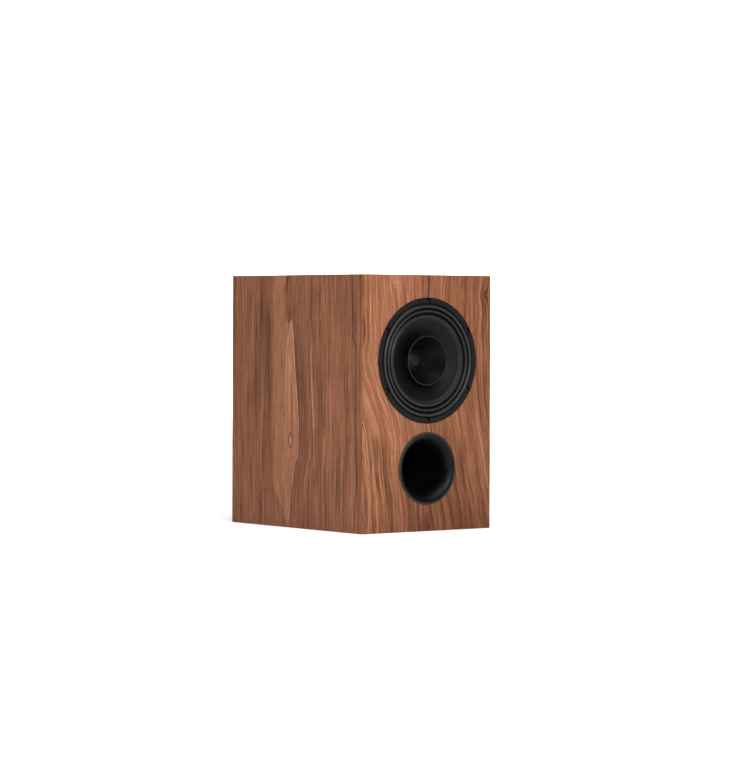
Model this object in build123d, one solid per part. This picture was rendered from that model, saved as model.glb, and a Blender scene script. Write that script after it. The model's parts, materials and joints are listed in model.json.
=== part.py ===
from build123d import *
from math import cos, radians, sin, sqrt
import os

# Bookshelf speaker in millimetres: +Z up, front towards -Y, origin at the bottom centre.

# ---- cabinet -------------------------------------------------------------------------------------------------
CABINET_W = 220.0
CABINET_D = 297.0
CABINET_H = 343.0
BOARD = 18.0
EDGE_ROUND = 1.2
REAR_INSET = 2.5          # rear board's outer face, in front of the walls' rear edges
BRACE_Z = 150.0
BRACE_T = 12.0
BRACE_WINDOW = (120.0, 170.0)
CLEAT = 12.0
LINING = 12.0

# ---- driver --------------------------------------------------------------------------------------------------
DRIVER_Z = 228.4
DRIVER_R = 84.0
TRIM_PROUD = 0.4          # the trim ring stands this far out of the baffle
TRIM_T = 2.6
TRIM_INNER_R = 75.8
TRIM_REBATE_R = 77.6
LIP_T = 0.6
FLANGE_T = 1.4
GASKET_T = 1.5
CUTOUT_R = 74.3
BOWL_R = 73.4
SHELF_R = 53.4
LOWER_WALL_R = 43.4
SHEET = 1.4               # thickness of the basket's pressed steel
SHELF_DEPTH = 34.0        # depths are counted from the trim ring's front plane
BASKET_DEPTH = 45.4
BASKET_HOLE_R = 16.4
WINDOW_COUNT = 6
WINDOW_ARC = 42.0
SCREW_COUNT = 6
SCREW_RING_R = 79.6
RIVET_COUNT = 4
RIVET_RING_R = 31.0
TAG_DROP = 58.5           # eyelets of the tag strip, below the driver's axis

ROLL_OUTER_R = 75.6
ROLL_START = (74.8, -0.2)     # surround profile as (radius, depth) points
ROLL_CREST_DEPTH = -2.1
ROLL_DIP = (70.2, -1.4)
INNER_ROLL_SIDE = (66.3, -1.2)
INNER_ROLL_FOOT = (62.4, 3.2)
GROOVE_DEPTH = 4.4
BEAD_OUTER_R = 60.0
BEAD_INNER_R = 54.2
BEAD_H = 1.4
CONE_T = 0.7
NECK_DEPTH = 30.0
WHIZZER_R = 33.1
WHIZZER_RIM_DEPTH = 1.0
WHIZZER_T = 0.5
CAP_RISE = 3.6
CAP_T = 0.5
FORMER_R = 13.6
FORMER_T = 0.3
FORMER_END_DEPTH = 54.0
COIL_H = 12.0
COIL_T = 0.7
SPIDER_DEPTH = 33.2
SPIDER_R = 51.0
SPIDER_WAVES = 5
POLE_R = 12.9
GAP_R = 14.8
TOP_PLATE_R = 41.0
PLATE_T = 5.0
MAGNET_R = 45.0
MAGNET_HOLE_R = 24.0
MAGNET_T = 14.0
VENT_R = 5.0

# ---- port ----------------------------------------------------------------------------------------------------
PORT_Z = 84.0
PORT_LIP_R = 48.5
PORT_THROAT_R = 34.0
PORT_PROUD = 0.7
PORT_FLANGE_T = 3.0
PORT_LENGTH = 185.0
FLARE_DEPTH = 24.0
FLARE_WALL = 2.4
TUBE_WALL = 3.0
SPIGOT_L = 12.0

# ---- terminals -----------------------------------------------------------------------------------------------
CUP_Z = 92.0
CUP_FLANGE = (96.0, 76.0)
CUP_FLANGE_T = 2.5
CUP_GASKET_T = 1.0
CUP_BODY = (70.0, 50.0)
CUP_WALL = 2.5
CUP_FLOOR_T = 3.0
CUP_DEPTH = 26.5          # from the flange's outer face to the floor
CUP_SCREW_SPACING = (82.0, 62.0)
WASHER_T = 2.0
TAG_T = 0.8
POST_SPACING = 19.05
POST_R = 4.0
STUD_R = 3.0
SOCKET_R = 2.0
SOCKET_DEPTH = 16.0
WIRE_HOLE_R = 1.6
POST_L = 27.0
KNOB_R = 7.5
THREAD_CLEARANCE = 0.05

# ---- derived places ------------------------------------------------------------------------------------------
FRONT_Y = -CABINET_D / 2
REAR_Y = CABINET_D / 2
BAFFLE_BACK_Y = FRONT_Y + BOARD
INNER_X = CABINET_W / 2 - BOARD
INNER_TOP_Z = CABINET_H - BOARD
TRIM_Y = FRONT_Y - TRIM_PROUD
REAR_BOARD_Y = REAR_Y - REAR_INSET
REAR_BOARD_INNER_Y = REAR_BOARD_Y - BOARD
FLANGE_Y = TRIM_Y + TRIM_T
GASKET_Y = FLANGE_Y + FLANGE_T
RECESS_Y = GASKET_Y + GASKET_T
BASKET_END_Y = TRIM_Y + BASKET_DEPTH
TOP_PLATE_Y = BASKET_END_Y
MAGNET_Y = TOP_PLATE_Y + PLATE_T
BACK_PLATE_Y = MAGNET_Y + MAGNET_T
CUP_FLANGE_Y = REAR_BOARD_Y + CUP_GASKET_T + CUP_FLANGE_T
CUP_FLOOR_Y = CUP_FLANGE_Y - CUP_DEPTH
CUP_BACK_Y = CUP_FLOOR_Y - CUP_FLOOR_T


# ---- helpers -------------------------------------------------------------------------------------------------
def box(x0, x1, y0, y1, z0, z1):
    """Block between two corners."""
    return Pos((x0 + x1) / 2, (y0 + y1) / 2, (z0 + z1) / 2) * Box(x1 - x0, y1 - y0, z1 - z0)


def rod(r, y0, y1, x=0.0, z=0.0):
    """Cylinder along Y."""
    return Pos(x, (y0 + y1) / 2, z) * Rot(90, 0, 0) * Cylinder(r, y1 - y0)


def turned(outline, x=0.0, z=0.0):
    """Solid of revolution about a line along Y through (x, z); the outline is in (radius, y)."""
    return Pos(x, 0, z) * revolve(make_face(outline), Axis.Y)


def turned_polygon(points, x=0.0, z=0.0):
    """Solid of revolution of a straight-sided outline."""
    return turned(Polyline(*points, close=True), x, z)


def ring(r_in, r_out, y0, y1, x=0.0, z=0.0):
    """Plain washer or tube along Y."""
    return turned_polygon([(r_in, y0), (r_out, y0), (r_out, y1), (r_in, y1)], x, z)


def around(count, radius, z, start=90.0):
    """Places evenly spaced on a circle in the XZ plane, the first at the top."""
    angles = [radians(start + i * 360.0 / count) for i in range(count)]
    return [(radius * cos(a), z + radius * sin(a)) for a in angles]


def rounded_plate(size, corner, y0, y1, z):
    """Plate with round corners, in the XZ plane."""
    outline = RectangleRounded(size[0], size[1], corner)
    return Pos(0, y1, z) * Rot(90, 0, 0) * extrude(outline, y1 - y0)


def mitred_board(outer, inner):
    """Board between an outer and an inner rectangle, each given by its four corners."""
    faces = [Face(Wire.make_polygon([Vector(*p) for p in corners], close=True)) for corners in (outer, inner)]
    return Solid.make_loft([f.outer_wire() for f in faces], ruled=True)


def wood_screw(x, z, head_y, head_r, head_h, shank_r, length, inward):
    """Flat-headed screw along Y with a cross recess; inward is +1 or -1, the way that it is driven."""
    tip_y = head_y + inward * length
    body = turned_polygon(
        [
            (0, head_y),
            (head_r, head_y),
            (head_r, head_y + inward * head_h * 0.4),
            (shank_r, head_y + inward * head_h),
            (shank_r, tip_y - inward * 2 * shank_r),
            (0, tip_y),
        ],
        x,
        z,
    )
    depth = head_h * 0.7
    arm = head_r * 0.6
    slot = shank_r * 0.22
    for half_x, half_z in ((arm, slot), (slot, arm)):
        cut_end = head_y + inward * depth
        y0 = min(head_y - inward, cut_end)
        y1 = max(head_y - inward, cut_end)
        body -= box(x - half_x, x + half_x, y0, y1, z - half_z, z + half_z)
    return body


def round_wire(points, radii, r):
    """Round wire of radius r along straight runs joined by arcs."""
    path = FilletPolyline(*points, radius=radii)
    return sweep(Plane(origin=path @ 0, z_dir=path % 0) * Circle(r), path=path)


parts = {}


# ---- cabinet -------------------------------------------------------------------------------------------------
def make_cabinet():
    """Five mitred boards, the rear board, the brace, the cleats and the felt."""
    w = CABINET_W / 2
    outline = fillet(Box(CABINET_W, CABINET_D, CABINET_H).edges(), EDGE_ROUND)
    outline = Pos(0, 0, CABINET_H / 2) * outline

    baffle = mitred_board(
        [(-w, FRONT_Y, 0), (w, FRONT_Y, 0), (w, FRONT_Y, CABINET_H), (-w, FRONT_Y, CABINET_H)],
        [
            (-INNER_X, BAFFLE_BACK_Y, BOARD),
            (INNER_X, BAFFLE_BACK_Y, BOARD),
            (INNER_X, BAFFLE_BACK_Y, INNER_TOP_Z),
            (-INNER_X, BAFFLE_BACK_Y, INNER_TOP_Z),
        ],
    )
    baffle &= outline
    baffle -= rod(CUTOUT_R, FRONT_Y - 1, BAFFLE_BACK_Y + 1, z=DRIVER_Z)
    baffle -= rod(DRIVER_R + 0.4, FRONT_Y - 1, RECESS_Y, z=DRIVER_Z)
    baffle -= rod(PORT_LIP_R - 3.0, FRONT_Y - 1, BAFFLE_BACK_Y + 1, z=PORT_Z)
    baffle -= rod(PORT_LIP_R + 0.3, FRONT_Y - 1, FRONT_Y + PORT_FLANGE_T, z=PORT_Z)
    for x, z in around(SCREW_COUNT, SCREW_RING_R, DRIVER_Z):
        baffle -= rod(1.6, RECESS_Y - 1, BAFFLE_BACK_Y + 1, x, z)
    parts["front_baffle"] = baffle

    for name, side in (("left_panel", -1), ("right_panel", 1)):
        wall = mitred_board(
            [
                (side * w, FRONT_Y, 0),
                (side * w, REAR_Y, 0),
                (side * w, REAR_Y, CABINET_H),
                (side * w, FRONT_Y, CABINET_H),
            ],
            [
                (side * INNER_X, BAFFLE_BACK_Y, BOARD),
                (side * INNER_X, REAR_Y, BOARD),
                (side * INNER_X, REAR_Y, INNER_TOP_Z),
                (side * INNER_X, BAFFLE_BACK_Y, INNER_TOP_Z),
            ],
        )
        parts[name] = wall & outline

    for name, outer_z, inner_z in (("top_panel", CABINET_H, INNER_TOP_Z), ("bottom_panel", 0.0, BOARD)):
        wall = mitred_board(
            [(-w, FRONT_Y, outer_z), (w, FRONT_Y, outer_z), (w, REAR_Y, outer_z), (-w, REAR_Y, outer_z)],
            [
                (-INNER_X, BAFFLE_BACK_Y, inner_z),
                (INNER_X, BAFFLE_BACK_Y, inner_z),
                (INNER_X, REAR_Y, inner_z),
                (-INNER_X, REAR_Y, inner_z),
            ],
        )
        parts[name] = wall & outline

    rear = box(-INNER_X, INNER_X, REAR_BOARD_INNER_Y, REAR_BOARD_Y, BOARD, INNER_TOP_Z)
    cut_size = (CUP_BODY[0] + 1.0, CUP_BODY[1] + 1.0)
    rear -= rounded_plate(cut_size, 12.5, REAR_BOARD_INNER_Y - 1, REAR_BOARD_Y + 1, CUP_Z)
    for x, z in cup_screw_places():
        rear -= rod(1.3, REAR_BOARD_Y - 15, REAR_BOARD_Y + 1, x, z)
    parts["rear_panel"] = rear

    brace_back_y = REAR_BOARD_INNER_Y - CLEAT - 6.0
    brace = box(-INNER_X, INNER_X, BAFFLE_BACK_Y, brace_back_y, BRACE_Z, BRACE_Z + BRACE_T)
    window = extrude(RectangleRounded(BRACE_WINDOW[0], BRACE_WINDOW[1], 22.0), BRACE_T + 2)
    brace -= Pos(0, (BAFFLE_BACK_Y + brace_back_y) / 2, BRACE_Z - 1) * window
    parts["shelf_brace"] = brace

    y0 = REAR_BOARD_INNER_Y - CLEAT
    y1 = REAR_BOARD_INNER_Y
    parts["rear_cleats"] = [
        box(-INNER_X, INNER_X, y0, y1, BOARD, BOARD + CLEAT),
        box(-INNER_X, INNER_X, y0, y1, INNER_TOP_Z - CLEAT, INNER_TOP_Z),
        box(-INNER_X, -INNER_X + CLEAT, y0, y1, BOARD + CLEAT, INNER_TOP_Z - CLEAT),
        box(INNER_X - CLEAT, INNER_X, y0, y1, BOARD + CLEAT, INNER_TOP_Z - CLEAT),
    ]

    felt_y0 = BAFFLE_BACK_Y + 8.0
    felt_y1 = brace_back_y - 4.0
    low = (BOARD + 6.0, BRACE_Z - 4.0)
    high = (BRACE_Z + BRACE_T + 4.0, INNER_TOP_Z - LINING - 4.0)
    for name, x0, x1 in (
        ("lining_left", -INNER_X, -INNER_X + LINING),
        ("lining_right", INNER_X - LINING, INNER_X),
    ):
        parts[name] = [box(x0, x1, felt_y0, felt_y1, z0, z1) for z0, z1 in (low, high)]
    parts["lining_top"] = box(
        -INNER_X + LINING, INNER_X - LINING, felt_y0, felt_y1, INNER_TOP_Z - LINING, INNER_TOP_Z
    )
    parts["lining_rear"] = box(
        -INNER_X + CLEAT + 2,
        INNER_X - CLEAT - 2,
        REAR_BOARD_INNER_Y - LINING,
        REAR_BOARD_INNER_Y,
        BRACE_Z + BRACE_T,
        INNER_TOP_Z - CLEAT - 2,
    )


# ---- driver: fixed pieces ------------------------------------------------------------------------------------
def make_driver_frame():
    """Trim ring, basket, gasket, screws, rivets and the tag strip."""
    trim = turned_polygon(
        [
            (TRIM_INNER_R, TRIM_Y + 0.3),
            (TRIM_INNER_R + 0.3, TRIM_Y),
            (DRIVER_R - 0.6, TRIM_Y),
            (DRIVER_R, TRIM_Y + 0.6),
            (DRIVER_R, FLANGE_Y),
            (TRIM_REBATE_R, FLANGE_Y),
            (TRIM_REBATE_R, FLANGE_Y - LIP_T - 0.2),
            (TRIM_INNER_R, FLANGE_Y - LIP_T - 0.2),
        ],
        z=DRIVER_Z,
    )
    wall_start_r = BOWL_R - SHEET
    shelf_y = TRIM_Y + SHELF_DEPTH
    basket = turned_polygon(
        [
            (wall_start_r, FLANGE_Y),
            (DRIVER_R, FLANGE_Y),
            (DRIVER_R, GASKET_Y),
            (BOWL_R, GASKET_Y),
            (SHELF_R, shelf_y),
            (SHELF_R, shelf_y + SHEET),
            (LOWER_WALL_R, shelf_y + SHEET),
            (LOWER_WALL_R, BASKET_END_Y),
            (BASKET_HOLE_R, BASKET_END_Y),
            (BASKET_HOLE_R, BASKET_END_Y - SHEET),
            (LOWER_WALL_R - SHEET, BASKET_END_Y - SHEET),
            (LOWER_WALL_R - SHEET, shelf_y),
            (SHELF_R - SHEET, shelf_y),
            (wall_start_r, GASKET_Y),
        ],
        z=DRIVER_Z,
    )
    window_face = Polyline(
        (46.0, GASKET_Y + 5.0),
        (80.0, GASKET_Y + 5.0),
        (80.0, shelf_y - 3.0),
        (46.0, shelf_y - 3.0),
        close=True,
    )
    window = revolve(make_face(window_face), Axis.Y, revolution_arc=WINDOW_ARC)
    for i in range(WINDOW_COUNT):
        turn = 90.0 - WINDOW_ARC / 2 + i * 360.0 / WINDOW_COUNT
        basket -= Pos(0, 0, DRIVER_Z) * Rot(0, turn, 0) * window

    gasket = ring(CUTOUT_R + 0.4, DRIVER_R, GASKET_Y, RECESS_Y, z=DRIVER_Z)

    screws = []
    for x, z in around(SCREW_COUNT, SCREW_RING_R, DRIVER_Z):
        trim -= rod(3.5, TRIM_Y - 1, TRIM_Y + 1.5, x, z)
        trim -= rod(2.1, TRIM_Y, FLANGE_Y + 1, x, z)
        basket -= rod(2.1, FLANGE_Y - 1, GASKET_Y + 1, x, z)
        gasket -= rod(2.1, GASKET_Y - 1, RECESS_Y + 1, x, z)
        screws.append(wood_screw(x, z, TRIM_Y + 0.5, 3.1, 1.0, 1.8, 18.0, 1))

    rivets = []
    for x, z in around(RIVET_COUNT, RIVET_RING_R, DRIVER_Z, start=45.0):
        basket -= rod(1.6, BASKET_END_Y - SHEET - 1, BASKET_END_Y + 1, x, z)
        head = rod(2.8, BASKET_END_Y - SHEET - 1.0, BASKET_END_Y - SHEET, x, z)
        rivets.append(head + rod(1.5, BASKET_END_Y - SHEET, TOP_PLATE_Y + PLATE_T - 0.5, x, z))

    strip_y = shelf_y + SHEET
    strip = box(-13, 13, strip_y, strip_y + 1.6, DRIVER_Z - 62, DRIVER_Z - LOWER_WALL_R - 3)
    tags = []
    for x in (-7.0, 7.0):
        strip -= rod(1.3, strip_y - 1, strip_y + 3, x, DRIVER_Z - TAG_DROP)
        eyelet = rod(1.2, strip_y - 0.6, strip_y + 1.6, x, DRIVER_Z - TAG_DROP)
        foot = box(x - 3.15, x + 3.15, strip_y + 1.6, strip_y + 2.4, DRIVER_Z - 61, DRIVER_Z - 54)
        blade = box(x - 3.15, x + 3.15, strip_y + 1.6, strip_y + 13, DRIVER_Z - 54.8, DRIVER_Z - 54)
        tags.append(eyelet + foot + blade)

    parts["trim_ring"] = trim
    parts["basket"] = basket
    parts["basket_gasket"] = gasket
    parts["driver_screws"] = screws
    parts["basket_rivets"] = rivets
    parts["tag_strip"] = strip
    parts["driver_tags"] = tags


def make_magnet():
    """Top plate, ferrite ring and the yoke with its vented pole."""
    top_plate = ring(GAP_R, TOP_PLATE_R, TOP_PLATE_Y, MAGNET_Y, z=DRIVER_Z)
    for x, z in around(RIVET_COUNT, RIVET_RING_R, DRIVER_Z, start=45.0):
        top_plate -= rod(1.6, TOP_PLATE_Y - 1, MAGNET_Y - 0.5, x, z)
    parts["top_plate"] = top_plate
    parts["magnet"] = ring(MAGNET_HOLE_R, MAGNET_R, MAGNET_Y, BACK_PLATE_Y, z=DRIVER_Z)
    parts["yoke"] = turned_polygon(
        [
            (VENT_R, TOP_PLATE_Y - 0.5),
            (POLE_R, TOP_PLATE_Y - 0.5),
            (POLE_R, BACK_PLATE_Y),
            (TOP_PLATE_R, BACK_PLATE_Y),
            (TOP_PLATE_R, BACK_PLATE_Y + PLATE_T),
            (VENT_R, BACK_PLATE_Y + PLATE_T),
        ],
        z=DRIVER_Z,
    )


# ---- driver: moving pieces -----------------------------------------------------------------------------------
def shell_outline(front, back):
    """Closed outline between a front and a back curve that run the same way."""
    return front + [Line(front[-1] @ 1, back[-1] @ 1)] + back + [Line(back[0] @ 0, front[0] @ 0)]


def make_moving_assembly():
    """Surround, cones, dust cap, former, coil, spider and leads."""
    lip_y = FLANGE_Y - LIP_T - 0.1
    groove_y = TRIM_Y + GROOVE_DEPTH
    neck_y = TRIM_Y + NECK_DEPTH

    def arch(r0, y0, r1, y1, top_y):
        """Arc over the span between two radii."""
        return ThreePointArc((r0, y0), ((r0 + r1) / 2, top_y), (r1, y1))

    def bead(offset):
        y = groove_y + offset
        return arch(BEAD_OUTER_R, y, BEAD_INNER_R, y, y - BEAD_H)

    def rolls(offset):
        def at(point):
            return (point[0], TRIM_Y + point[1] + offset)

        y = lip_y + offset
        crest_y = TRIM_Y + ROLL_CREST_DEPTH + offset
        return [
            Line((TRIM_REBATE_R - 0.3, y), (ROLL_OUTER_R, y)),
            Line((ROLL_OUTER_R, y), at(ROLL_START)),
            arch(*at(ROLL_START), *at(ROLL_DIP), crest_y),
            ThreePointArc(at(ROLL_DIP), at(INNER_ROLL_SIDE), at(INNER_ROLL_FOOT)),
            Line(at(INNER_ROLL_FOOT), at((BEAD_OUTER_R, GROOVE_DEPTH))),
            bead(offset),
        ]

    surround = turned(shell_outline(rolls(0.0), rolls(LIP_T)), z=DRIVER_Z)

    def cone_line(offset):
        rim = bead(LIP_T + offset)
        middle = (37.0, TRIM_Y + 14.4 + offset)
        neck = (FORMER_R + 0.1, neck_y + offset)
        return [rim, Spline(rim @ 1, middle, neck)]

    cone = turned(shell_outline(cone_line(0.0), cone_line(CONE_T)), z=DRIVER_Z)

    def whizzer_line(offset):
        rim = (WHIZZER_R, TRIM_Y + WHIZZER_RIM_DEPTH + offset)
        roll = (WHIZZER_R - 0.9, TRIM_Y + WHIZZER_RIM_DEPTH - 0.1 + offset)
        middle = (23.0 + offset * 0.4, TRIM_Y + 16.0 + offset * 0.4)
        neck = (FORMER_R + 1.0 + offset, neck_y - 2.6)
        return [Line(rim, roll), Spline(roll, middle, neck)]

    whizzer = turned(shell_outline(whizzer_line(0.0), whizzer_line(WHIZZER_T)), z=DRIVER_Z)

    cap_r = FORMER_R + 0.2
    cap_y = neck_y - 2.4
    dome_r = (cap_r**2 + CAP_RISE**2) / (2 * CAP_RISE)
    dome_centre_y = cap_y - CAP_RISE + dome_r
    dome = Pos(0, dome_centre_y, DRIVER_Z) * (Sphere(dome_r) - Sphere(dome_r - CAP_T))
    dust_cap = dome & rod(cap_r, cap_y - CAP_RISE - 1, cap_y, z=DRIVER_Z)

    coil_y = TOP_PLATE_Y + PLATE_T / 2
    former_end_y = TRIM_Y + FORMER_END_DEPTH
    former = ring(FORMER_R - FORMER_T, FORMER_R, neck_y - 1.6, former_end_y, z=DRIVER_Z)
    coil = ring(FORMER_R, FORMER_R + COIL_T, coil_y - COIL_H / 2, coil_y + COIL_H / 2, z=DRIVER_Z)

    def spider_line(offset):
        y = TRIM_Y + SPIDER_DEPTH + offset
        inner = FORMER_R + 3.0
        outer = LOWER_WALL_R - SHEET - 2.0
        step = (outer - inner) / (2 * SPIDER_WAVES)
        edges = [Line((FORMER_R + 0.05, y), (inner, y))]
        for i in range(2 * SPIDER_WAVES):
            a = inner + i * step
            side = 1.1 if i % 2 else -1.1
            edges.append(ThreePointArc((a, y), (a + step / 2, y + side), (a + step, y)))
        edges.append(Line((outer, y), (SPIDER_R, y)))
        return edges

    spider = turned(shell_outline(spider_line(0.0), spider_line(0.5)), z=DRIVER_Z)

    leads = []
    for x in (-7.0, 7.0):
        points = [
            (x, TRIM_Y + 21.2, DRIVER_Z - 30.0),
            (x, TRIM_Y + 26.9, DRIVER_Z - 34.0),
            (x, TRIM_Y + 27.5, DRIVER_Z - 46.0),
            (x, TRIM_Y + 28.6, DRIVER_Z - TAG_DROP),
            (x, TRIM_Y + SHELF_DEPTH + 0.4, DRIVER_Z - TAG_DROP),
        ]
        leads.append(round_wire(points, [4.0, 8.0, 2.5], 0.6))

    parts["surround"] = surround
    parts["cone"] = cone
    parts["whizzer_cone"] = whizzer
    parts["dust_cap"] = dust_cap
    parts["voice_coil_former"] = former
    parts["voice_coil"] = coil
    parts["spider"] = spider
    parts["tinsel_leads"] = leads


# ---- port ----------------------------------------------------------------------------------------------------
def make_port():
    """Front flare, tube and rear flare, joined by spigots."""
    face_y = FRONT_Y - PORT_PROUD
    throat_y = face_y + FLARE_DEPTH
    spigot_r = PORT_THROAT_R + TUBE_WALL - 1.0
    end_y = face_y + PORT_LENGTH
    lip_edge_r = PORT_LIP_R - 1.5
    flare_width = lip_edge_r - PORT_THROAT_R

    flare_outline = [
        EllipticalCenterArc((lip_edge_r, throat_y), flare_width, FLARE_DEPTH, start_angle=180, arc_size=90),
        ThreePointArc(
            (lip_edge_r, face_y), (PORT_LIP_R - 0.35, face_y + 0.35), (PORT_LIP_R, face_y + 1.2)
        ),
        Polyline(
            (PORT_LIP_R, face_y + 1.2),
            (PORT_LIP_R, FRONT_Y + PORT_FLANGE_T),
            (PORT_LIP_R - 3.5, FRONT_Y + PORT_FLANGE_T),
            (spigot_r + 1.0, throat_y - 6.0),
            (spigot_r + 1.0, throat_y),
            (spigot_r - 0.05, throat_y),
            (spigot_r - 0.05, throat_y + SPIGOT_L),
            (PORT_THROAT_R, throat_y + SPIGOT_L),
            (PORT_THROAT_R, throat_y),
        ),
    ]
    parts["port_flare"] = turned(flare_outline, z=PORT_Z)

    tube_end_y = end_y - FLARE_DEPTH
    tube_r = PORT_THROAT_R + TUBE_WALL
    parts["port_tube"] = turned_polygon(
        [
            (spigot_r, throat_y),
            (tube_r, throat_y),
            (tube_r, tube_end_y),
            (spigot_r, tube_end_y),
            (spigot_r, tube_end_y - SPIGOT_L),
            (PORT_THROAT_R, tube_end_y - SPIGOT_L),
            (PORT_THROAT_R, throat_y + SPIGOT_L),
            (spigot_r, throat_y + SPIGOT_L),
        ],
        z=PORT_Z,
    )
    rear_outline = [
        EllipticalCenterArc((lip_edge_r, tube_end_y), flare_width, FLARE_DEPTH, start_angle=90, arc_size=90),
        Polyline(
            (PORT_THROAT_R, tube_end_y),
            (PORT_THROAT_R, tube_end_y - SPIGOT_L),
            (spigot_r - 0.05, tube_end_y - SPIGOT_L),
            (spigot_r - 0.05, tube_end_y),
            (spigot_r + 1.0, tube_end_y),
            (spigot_r + 1.0, tube_end_y + 6.0),
            (lip_edge_r, end_y - FLARE_WALL),
            (lip_edge_r, end_y),
        ),
    ]
    parts["port_rear_flare"] = turned(rear_outline, z=PORT_Z)


# ---- terminals -----------------------------------------------------------------------------------------------
def cup_screw_places():
    """Centres of the terminal cup's four screws."""
    sx, sz = CUP_SCREW_SPACING
    return [(i * sx / 2, CUP_Z + j * sz / 2) for i in (-1, 1) for j in (-1, 1)]


def make_terminal_cup():
    """Cup, gasket, screws and the insulating washers behind its floor."""
    flange = rounded_plate(CUP_FLANGE, 8.0, REAR_BOARD_Y + CUP_GASKET_T, CUP_FLANGE_Y, CUP_Z)
    flange = chamfer(flange.faces().sort_by(Axis.Y)[-1].edges(), 0.8)
    body = rounded_plate(CUP_BODY, 12.0, CUP_BACK_Y, REAR_BOARD_Y + CUP_GASKET_T, CUP_Z)
    room = (CUP_BODY[0] - 2 * CUP_WALL, CUP_BODY[1] - 2 * CUP_WALL)
    hollow = rounded_plate(room, 12.0 - CUP_WALL, CUP_FLOOR_Y, CUP_FLANGE_Y + 1, CUP_Z)
    cup = flange + body - hollow
    gasket = rounded_plate(CUP_FLANGE, 8.0, REAR_BOARD_Y, REAR_BOARD_Y + CUP_GASKET_T, CUP_Z)
    gap = (CUP_BODY[0] + 1.0, CUP_BODY[1] + 1.0)
    gasket -= rounded_plate(gap, 12.5, REAR_BOARD_Y - 1, REAR_BOARD_Y + 3, CUP_Z)
    screws = []
    for x, z in cup_screw_places():
        cup -= turned_polygon(
            [
                (0, CUP_FLANGE_Y + 1),
                (3.4, CUP_FLANGE_Y + 1),
                (3.4, CUP_FLANGE_Y - 1.0),
                (1.7, CUP_FLANGE_Y - 2.0),
                (1.7, REAR_BOARD_Y - 1),
                (0, REAR_BOARD_Y - 1),
            ],
            x,
            z,
        )
        gasket -= rod(1.7, REAR_BOARD_Y - 1, REAR_BOARD_Y + 3, x, z)
        screws.append(wood_screw(x, z, CUP_FLANGE_Y - 0.1, 3.2, 1.9, 1.5, 16.0, -1))
    washers = []
    for x in (-POST_SPACING / 2, POST_SPACING / 2):
        cup -= rod(5.2, CUP_BACK_Y - 1, CUP_FLOOR_Y + 1, x, CUP_Z)
        washers.append(ring(STUD_R + 0.1, 7.2, CUP_BACK_Y - WASHER_T, CUP_BACK_Y, x, CUP_Z))
    parts["terminal_cup"] = cup
    parts["cup_gasket"] = gasket
    parts["cup_screws"] = screws
    parts["insulating_washers"] = washers


def make_binding_post(colour, x):
    """Post, collar, clamp washer, knob and its threaded insert, as (node, solid)."""
    y = CUP_FLOOR_Y
    z = CUP_Z
    tip_y = y + POST_L
    parts[colour + "_collar"] = turned_polygon(
        [
            (STUD_R + 0.1, CUP_BACK_Y),
            (5.0, CUP_BACK_Y),
            (5.0, y),
            (7.4, y),
            (7.4, y + 2.4),
            (6.9, y + 3.0),
            (STUD_R + 0.1, y + 3.0),
        ],
        x,
        z,
    )
    post = turned_polygon(
        [
            (0, y - 13.0),
            (STUD_R - 0.4, y - 13.0),
            (STUD_R, y - 12.6),
            (STUD_R, y + 3.0),
            (6.5, y + 3.0),
            (6.5, y + 4.4),
            (POST_R, y + 4.4),
            (POST_R, tip_y - 0.4),
            (POST_R - 0.4, tip_y),
            (SOCKET_R + 0.4, tip_y),
            (SOCKET_R, tip_y - 0.4),
            (SOCKET_R, tip_y - SOCKET_DEPTH),
            (0, tip_y - SOCKET_DEPTH - 1.0),
        ],
        x,
        z,
    )
    post -= Pos(x, y + 7.0, z) * Cylinder(WIRE_HOLE_R, 4 * POST_R)
    parts[colour + "_post"] = post
    parts[colour + "_clamp_washer"] = ring(POST_R + 0.4, 6.6, y + 4.5, y + 5.7, x, z)

    bore_r = POST_R + THREAD_CLEARANCE
    parts[colour + "_knob_insert"] = turned_polygon(
        [(bore_r, y + 5.8), (5.6, y + 5.8), (5.6, tip_y - 0.6), (5.2, tip_y - 0.2), (bore_r, tip_y - 0.2)], x, z
    )
    knob = turned_polygon(
        [
            (5.6, y + 5.8),
            (6.9, y + 5.8),
            (KNOB_R, y + 6.6),
            (KNOB_R, tip_y - 2.2),
            (KNOB_R - 1.0, tip_y - 1.0),
            (5.6, tip_y - 1.0),
        ],
        x,
        z,
    )
    for fx, fz in around(14, KNOB_R + 0.35, 0.0):
        knob -= rod(0.85, y + 9.0, tip_y, x + fx, z + fz)
    parts[colour + "_knob"] = knob


def make_post_hardware():
    """Nuts and blade tags on the posts' inner ends."""
    tag_y = CUP_BACK_Y - WASHER_T
    nuts = []
    tags = []
    for x in (-POST_SPACING / 2, POST_SPACING / 2):
        blade = ring(STUD_R + 0.1, 5.6, tag_y - TAG_T, tag_y, x, CUP_Z)
        blade += box(x - 3.15, x + 3.15, tag_y - TAG_T, tag_y, CUP_Z + 4.8, CUP_Z + 18.0)
        tags.append(blade)
        hexagon = extrude(RegularPolygon(10.0 / sqrt(3), 6), 4.5)
        nut = Pos(x, tag_y - TAG_T, CUP_Z) * Rot(90, 0, 0) * hexagon
        nuts.append(nut - rod(STUD_R + 0.05, tag_y - 8, tag_y + 1, x, CUP_Z))
    parts["post_nuts"] = nuts
    parts["post_tags"] = tags


def push_on(width, height, length):
    """Push-on receptacle with its crimp barrel: its slot opens towards -Z, its centre line is on Z."""
    shell = Pos(0, 0, length * 0.35) * Box(width, height, length * 0.7)
    shell -= Pos(0, 0, length * 0.3) * Box(width - 1.2, height - 1.3, length * 0.62)
    barrel = Pos(0, 0, length * 0.84) * (Cylinder(2.2, length * 0.32) - Cylinder(1.55, length * 0.32))
    return shell + barrel


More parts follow.
